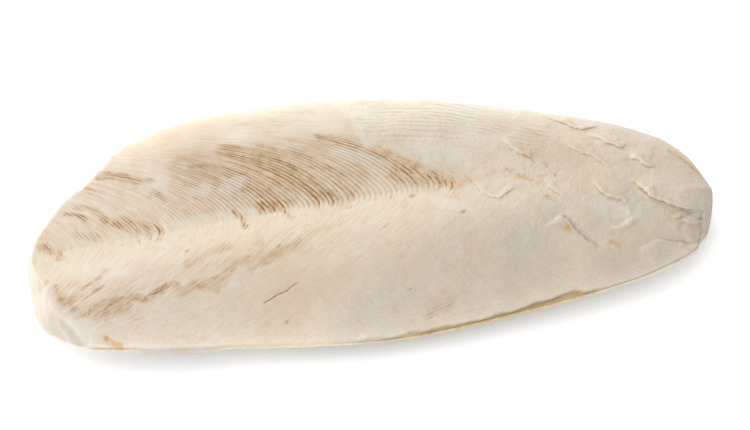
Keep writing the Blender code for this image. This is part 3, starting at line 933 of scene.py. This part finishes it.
chalk = Layers("chalk_skin")
coords = chalk.tree.nodes.new("ShaderNodeTexCoord").outputs["Object"]
grain_coords = chalk.read("grain", "Vector")
broad = chalk.between(chalk.noise(coords, 60, 5, 0.6), 0.35, 0.65)
colour = chalk.mix(broad, CREAM, ROSY)
colour = chalk.lay(colour, ROSY_REAR, "rosy", 0.8)
pale_front = chalk.mix("near", PALE_FRONT, NEAR_FRONT)
colour = chalk.lay(colour, pale_front, "front", chalk.maths("MULTIPLY_ADD", broad, -0.65, 1.0))
colour = chalk.lay(colour, GROOVE_CREAM, "groove", 0.75)
# Painted light: the rear far flank, which faces the main light, is painted lighter.
colour = chalk.lay(colour, FAR_FLANK_LIGHT, "far_flank_light", 0.8)
streaks = chalk.noise(grain_coords, 1.6, 5, 0.65)
streaky = chalk.maths("SUBTRACT", 1.0, chalk.product("front", 0.75))
colour = chalk.lay(colour, BUFF, chalk.between(streaks, 0.44, 0.68), streaky, 0.55)
clouds = chalk.between(chalk.noise(coords, 150, 5, 0.65), 0.48, 0.7)
colour = chalk.lay(colour, BUFF, clouds, 0.28)
colour = chalk.lay(colour, WHITER, chalk.between(chalk.noise(coords, 230, 5, 0.7), 0.52, 0.72), 0.4)
colour = chalk.lay(colour, SPECK, chalk.between(chalk.noise(coords, 1100, 2, 0.6), 0.62, 0.78), 0.25)
print("base layers:", len(chalk.tree.nodes), "nodes")

# %% [markdown]
# ## Furrows and stains
#
# The stored growth line counts up by one from furrow to furrow. The distance to the nearest whole number
# is zero in a furrow, and a narrow S of it draws the dark line. A stain is strongest there, and thinner on
# the ridges between.

# %% Furrows and stains over the chalk
FURROW = (0.58, 0.40, 0.23, 1)
RUST_WASH = (0.78, 0.48, 0.22, 1)
UMBER_COLOUR = (0.36, 0.19, 0.065, 1)
OLIVE_COLOUR = (0.27, 0.18, 0.04, 1)
ORANGE_COLOUR = (0.74, 0.41, 0.12, 1)

wobble = chalk.maths("MULTIPLY_ADD", chalk.noise(coords, 330, 2), 0.22, "growth_line")
nearest = chalk.maths("PINGPONG", chalk.maths("SUBTRACT", wobble, 0.11), 0.5)
broken = chalk.between(chalk.noise(grain_coords, 2.6, 3), 0.3, 0.55)
furrow = chalk.product(chalk.between(nearest, 0.26, 0.03), broken)
washed = chalk.maths("MULTIPLY_ADD", clouds, 0.3, chalk.product(chalk.between(streaks, 0.32, 0.66), streaky))
washed = chalk.maths("MULTIPLY_ADD", "front", 0.25, washed)
colour = chalk.lay(colour, TAN, "wash", washed, 0.8)
colour = chalk.lay(colour, FURROW, furrow, "furrows", 0.55)
patchy = chalk.between(chalk.noise(coords, 420, 4, 0.7), 0.3, 0.7)
streaky_patch = chalk.product(patchy, chalk.between(chalk.noise(grain_coords, 3.4, 4, 0.7), 0.4, 0.62))
colour = chalk.lay(colour, RUST_WASH, "umber", chalk.maths("MULTIPLY_ADD", patchy, 0.4, 0.2))
in_lines = chalk.product(furrow, chalk.between("furrows", 0.0, 0.03))
umber_share = chalk.maths("ADD", in_lines, chalk.product(streaky_patch, 0.8))
colour = chalk.lay(colour, UMBER_COLOUR, "umber", umber_share)
olive_share = chalk.maths("MULTIPLY_ADD", furrow, 0.5, chalk.product(patchy, 0.45))
colour = chalk.lay(colour, OLIVE_COLOUR, "olive", olive_share)
colour = chalk.lay(colour, ORANGE_COLOUR, "orange", chalk.maths("MULTIPLY_ADD", patchy, 0.6, 0.35))
print("with stains:", len(chalk.tree.nodes), "nodes")

# %% [markdown]
# ## Steps, cracks and horn
#
# At the foot of each ledge lies a dark line of painted shadow under its edge, and its lip is a pale
# painted highlight. Terraces and ovals show as hair-thin greyish lines. The shield shows as horn, tan on
# its rim, with a dark olive-brown line of painted shadow where the chalk ends over it.
# The distances stored on the vertices place all of these, so each line lies just where the mesh steps.

# %% Ledges, terraces and cracks over the chalk
# The first two colours are painted shadow and painted highlight at the ledges.
LEDGE_SHADOW_COLOUR = (0.56, 0.38, 0.22, 1)
LEDGE_HIGHLIGHT_COLOUR = (0.95, 0.87, 0.75, 1)
TERRACE_COLOUR = (0.58, 0.50, 0.37, 1)
OVAL_COLOUR = (0.58, 0.52, 0.40, 1)
CRACK_COLOUR = (0.20, 0.13, 0.07, 1)
PIT_COLOUR = (0.46, 0.29, 0.17, 1)

step = chalk.read("step_side")
step_size_now = chalk.read("step_size")
# Painted shadow: a dark line on the low side of each ledge, under its edge.
ledge_shadow = chalk.product(chalk.between(step, -0.6, -0.1), chalk.between(step, 0.25, 0.0), step_size_now)
colour = chalk.lay(colour, LEDGE_SHADOW_COLOUR, ledge_shadow, patchy, 0.6)
# Painted highlight: a pale line along each ledge's lip.
ledge_highlight = chalk.product(chalk.between(step, 0.05, 0.4), chalk.between(step, 1.2, 0.5), step_size_now)
colour = chalk.lay(colour, LEDGE_HIGHLIGHT_COLOUR, ledge_highlight, 0.45)
terrace_line = chalk.product(chalk.between(chalk.maths("FRACT", "terrace"), 0.34, 0.1), "terraced")
colour = chalk.lay(colour, TERRACE_COLOUR, terrace_line, 0.32)
oval_line = chalk.product(chalk.between(chalk.maths("FRACT", "oval"), 0.4, 0.1), "ovals")
colour = chalk.lay(colour, OVAL_COLOUR, oval_line, 0.1)
crack_now = chalk.product(chalk.between("crack", 0.2, 0.02), broken)
colour = chalk.lay(colour, CRACK_COLOUR, crack_now, 0.85)
colour = chalk.lay(colour, PIT_COLOUR, "pit", 0.65)
print("with ledges and cracks:", len(chalk.tree.nodes), "nodes")

# %% Rim, broken wall, back and horn
RIM_RUST = (0.82, 0.58, 0.30, 1)
WALL = (0.73, 0.655, 0.56, 1)
# the next colour also paints the highlight on the crest and the light on the flake
RUBBED_AND_LIT = (0.92, 0.86, 0.78, 1)
BACK = (0.84, 0.75, 0.64, 1)
BACK_TAN = (0.76, 0.63, 0.50, 1)
PIMPLE = (0.93, 0.87, 0.78, 1)
HORN = (0.70, 0.51, 0.26, 1)
HORN_PALE = (0.88, 0.72, 0.48, 1)
# the next colour is painted shadow on the horn under the chalk's edge
HORN_SHADOW_COLOUR = (0.30, 0.21, 0.09, 1)

colour = chalk.lay(colour, RIM_RUST, "rim", patchy, 0.8)
colour = chalk.lay(colour, WALL, "wall", 0.7)
# Rubbed patches, a painted highlight on the crest and painted light on the flake.
colour = chalk.lay(colour, RUBBED_AND_LIT, "pale", 0.8)
back_patches = chalk.between(chalk.noise(coords, 120, 5, 0.6), 0.35, 0.65)
pimples = chalk.product(chalk.between(chalk.noise(coords, 480, 2, 0.5), 0.46, 0.62), "back")
back_colour = chalk.lay(chalk.mix(back_patches, BACK, BACK_TAN), PIMPLE, pimples, 0.5)
colour = chalk.lay(colour, back_colour, "back")
horn_patches = chalk.between(chalk.noise(coords, 210, 4, 0.6), 0.35, 0.65)
colour = chalk.lay(colour, chalk.mix(horn_patches, HORN, HORN_PALE), "horn")
# Painted shadow: a dark line on the horn where the chalk's near edge hangs over it.
colour = chalk.lay(colour, HORN_SHADOW_COLOUR, "chalk_shadow_on_horn", 0.6)
chalk.put(chalk.shader, "Base Color", colour)
chalk.put(chalk.shader, "Roughness", 0.88)
chalk.put(chalk.shader, "Specular IOR Level", 0.25)
print("all layers:", len(chalk.tree.nodes), "nodes")

# %% [markdown]
# ## Fine grain
#
# Relief too fine for the mesh goes into the bump: the dust-fine tooth of chalk, streaks along the growth
# lines, a sharper bottom to each furrow, and the sharp edges of the ledges, terraces and cracks. Heights
# are in millimetres, so the bump distance is one millimetre.

# %% Bump
# Each form with its height, which is negative for a cut.
RELIEF = [
    (chalk.noise(coords, 1300, 4, 0.7), 0.05),
    (chalk.noise(grain_coords, 3.0, 4, 0.6), 0.07),
    (chalk.noise(coords, 330, 3, 0.6), 0.05),
    (chalk.product(chalk.between(chalk.noise(coords, 760, 3, 0.7), 0.35, 0.65), "front"), 0.035),
    (chalk.product(chalk.noise(coords, 190, 3, 0.6), "front"), 0.2),
    (pimples, 0.15),
    (chalk.product(furrow, "furrows"), -0.1),
    (chalk.product(chalk.between(step, -0.12, 0.12), step_size_now), 0.2),
    (terrace_line, -0.06),
    (oval_line, -0.02),
    (crack_now, -0.12),
]
height = 0.0
for form, size in RELIEF:
    height = chalk.maths("MULTIPLY_ADD", form, size, height)
bump = chalk.tree.nodes.new("ShaderNodeBump")
bump.inputs["Distance"].default_value = MM
bump.inputs["Strength"].default_value = 1.0
chalk.put(bump, "Height", height)
chalk.put(chalk.shader, "Normal", bump.outputs["Normal"])
skin.materials.append(chalk.material)
print("material:", chalk.material.name)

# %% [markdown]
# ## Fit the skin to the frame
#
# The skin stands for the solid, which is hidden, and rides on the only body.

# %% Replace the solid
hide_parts("cuttlebone")
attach(bone, "root")
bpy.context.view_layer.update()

# %% [markdown]
# ## Floor, light and camera
#
# The bone lies on a bright white sweep that glows, except close to the bone, so only a short soft shadow
# shows in front. The main light is large and low and comes from behind, to the left: it whitens the far
# flank. A weaker one from the left reaches the broken end and the rear of the near flank. The camera looks
# down at 58 degrees, turned a little to the left, through a long lens from 62 centimetres away.

# %% Floor
FLOOR_WHITE = (0.87, 0.92, 0.99, 1)  # its blue takes back the bone's warm glow
GLOW = 0.72
CONTACT_SHADOW = 11 * MM
SHADOW_CONTRAST = 2.1
floor_mesh = bpy.data.meshes.new("floor")
bm = bmesh.new()
bmesh.ops.create_grid(bm, x_segments=1, y_segments=1, size=1.5)
bm.to_mesh(floor_mesh)
bm.free()
floor = bpy.data.objects.new("floor", floor_mesh)
bpy.context.scene.collection.objects.link(floor)
white = Layers("white_sweep")
white.put(white.shader, "Base Color", FLOOR_WHITE)
white.put(white.shader, "Roughness", 0.9)
white.put(white.shader, "Emission Color", (1, 1, 1, 1))
# The glow is dimmed close to the bone: this paints the short contact shadow.
open_sky = white.tree.nodes.new("ShaderNodeAmbientOcclusion")
open_sky.inputs["Distance"].default_value = CONTACT_SHADOW
glow = white.maths("MULTIPLY", white.maths("POWER", open_sky.outputs["AO"], SHADOW_CONTRAST), GLOW)
white.put(white.shader, "Emission Strength", glow)
floor_mesh.materials.append(white.material)
print("floor is 3 m wide")


# %% Lights
def direction_to(azimuth, elevation):
    """The way from the bone to a place around it. Azimuth 0 is straight at the near side."""
    a, e = math.radians(azimuth), math.radians(elevation)
    return Vector((math.sin(a) * math.cos(e), -math.cos(a) * math.cos(e), math.sin(e)))


def add_light(name, azimuth, elevation, away, size, power):
    """A square soft light that looks at the bone."""
    lamp = bpy.data.lights.new(name, "AREA")
    lamp.size = size
    lamp.energy = power
    direction = direction_to(azimuth, elevation)
    turned = direction.to_track_quat("Z", "Y").to_matrix().to_4x4()
    light = bpy.data.objects.new(name, lamp)
    light.matrix_world = Matrix.Translation(direction * away) @ turned
    bpy.context.scene.collection.objects.link(light)
    return light


key = add_light("key_light", azimuth=-152, elevation=29, away=1.2, size=0.8, power=10.4)
add_light("left_light", azimuth=-54, elevation=25, away=1.0, size=0.6, power=3.3)
world = bpy.data.worlds.new("studio")
world.use_nodes = True
world.node_tree.nodes["Background"].inputs["Color"].default_value = (1, 1, 1, 1)
world.node_tree.nodes["Background"].inputs["Strength"].default_value = 0.47
bpy.context.scene.world = world
bpy.context.scene.view_settings.view_transform = "Standard"
print("main light in mm:", [round(v / MM) for v in key.matrix_world.translation])

# %% Camera
AZIMUTH, ELEVATION, AWAY = -8.5, 58.0, 0.62
LOOKS_AT = (1.3, -2.1, 8)  # in millimetres, on the outline before it is centred
PIXELS_PER_MM = 3.82  # at the bone
PICTURE_WIDTH = 750
SENSOR_WIDTH = 36
AIM = Vector((LOOKS_AT[0] - MIDDLE[0], LOOKS_AT[1] - MIDDLE[1], LOOKS_AT[2])) * MM
LENS = PIXELS_PER_MM * AWAY / MM * SENSOR_WIDTH / PICTURE_WIDTH
back = direction_to(AZIMUTH, ELEVATION)
right = Vector((math.cos(math.radians(AZIMUTH)), math.sin(math.radians(AZIMUTH)), 0))
turned = Matrix((right, back.cross(right), back)).transposed().to_4x4()
camera = bpy.data.objects.new("camera", bpy.data.cameras.new("camera"))
camera.data.lens = LENS
camera.matrix_world = Matrix.Translation(AIM + back * AWAY) @ turned
bpy.context.scene.collection.objects.link(camera)
bpy.context.scene.camera = camera
print("lens in mm:", round(LENS, 1))
